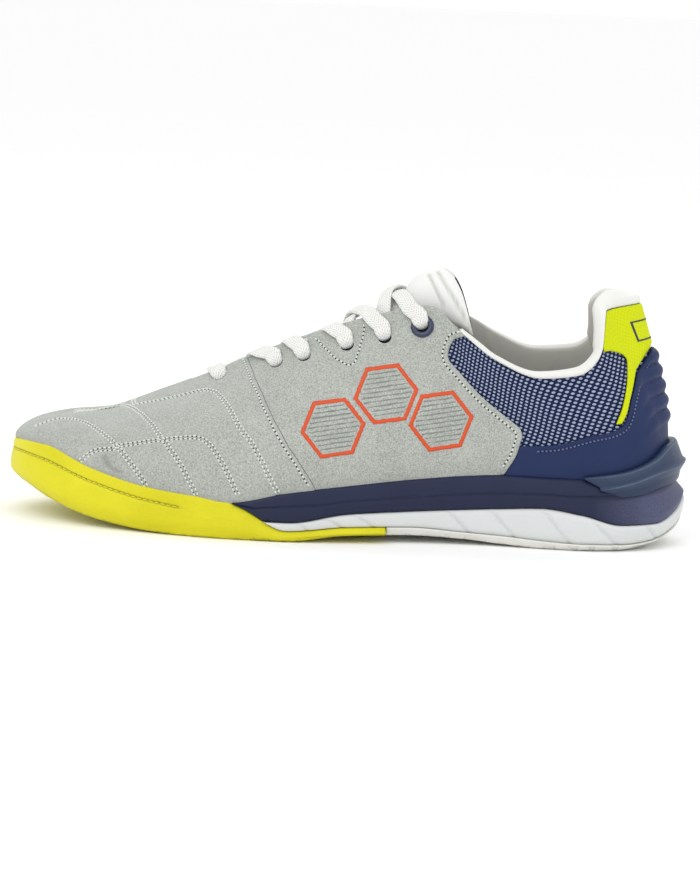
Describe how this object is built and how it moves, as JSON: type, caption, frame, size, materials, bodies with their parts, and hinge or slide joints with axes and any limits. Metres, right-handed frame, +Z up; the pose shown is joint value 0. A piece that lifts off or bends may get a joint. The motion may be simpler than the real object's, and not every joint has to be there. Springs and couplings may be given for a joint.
{
  "type": "indoor soccer shoe",
  "caption": "Low indoor soccer shoe for the left foot: suede toe and sides, mesh quarter, padded collar and tongue, flat laces and a flat rubber sole that wraps up over the toe.",
  "frame": {"origin": "on the ground, under the middle of the shoe's bounding box", "axes": "+X towards the heel, +Y towards the inner side of the foot, +Z up"},
  "size_m": [0.2906, 0.1048, 0.1119],
  "materials": {
    "mesh_fabric": "open navy mesh",
    "suede": "pale grey suede",
    "counter_gloss": "satin navy film",
    "neon_mesh": "neon yellow mesh",
    "lining": "soft pale textile",
    "tongue_fabric": "white padded synthetic",
    "insole_foam": "grey textile on foam",
    "midsole_navy": "matt navy foam",
    "stabilizer_teal": "satin dark blue",
    "midsole_white": "matt white foam",
    "rubber_yellow": "smooth yellow rubber",
    "rubber_white": "off-white rubber",
    "eyelet_navy": "glossy navy",
    "lace_white": "white flat woven lace"
  },
  "bodies": {
    "root": {"upper": "mesh_fabric", "toe_panel": "suede", "side_panel_outer": "suede", "side_panel_inner": "suede", "heel_counter": "counter_gloss", "heel_tab": "neon_mesh", "collar_lining": "lining", "tongue": "tongue_fabric", "insole": "insole_foam", "midsole": "midsole_navy", "heel_stabilizer": "stabilizer_teal", "lower_midsole": "midsole_white", "outsole_forefoot": "rubber_yellow", "outsole_heel": "rubber_white", "eyelet_outer": "eyelet_navy", "eyelet_inner": "eyelet_navy", "lace_bar": "lace_white", "lace_crossing_1": "lace_white", "lace_crossing_2": "lace_white", "lace_crossing_3": "lace_white", "lace_crossing_4": "lace_white", "lace_crossing_5": "lace_white"}
  },
  "joints": []
}
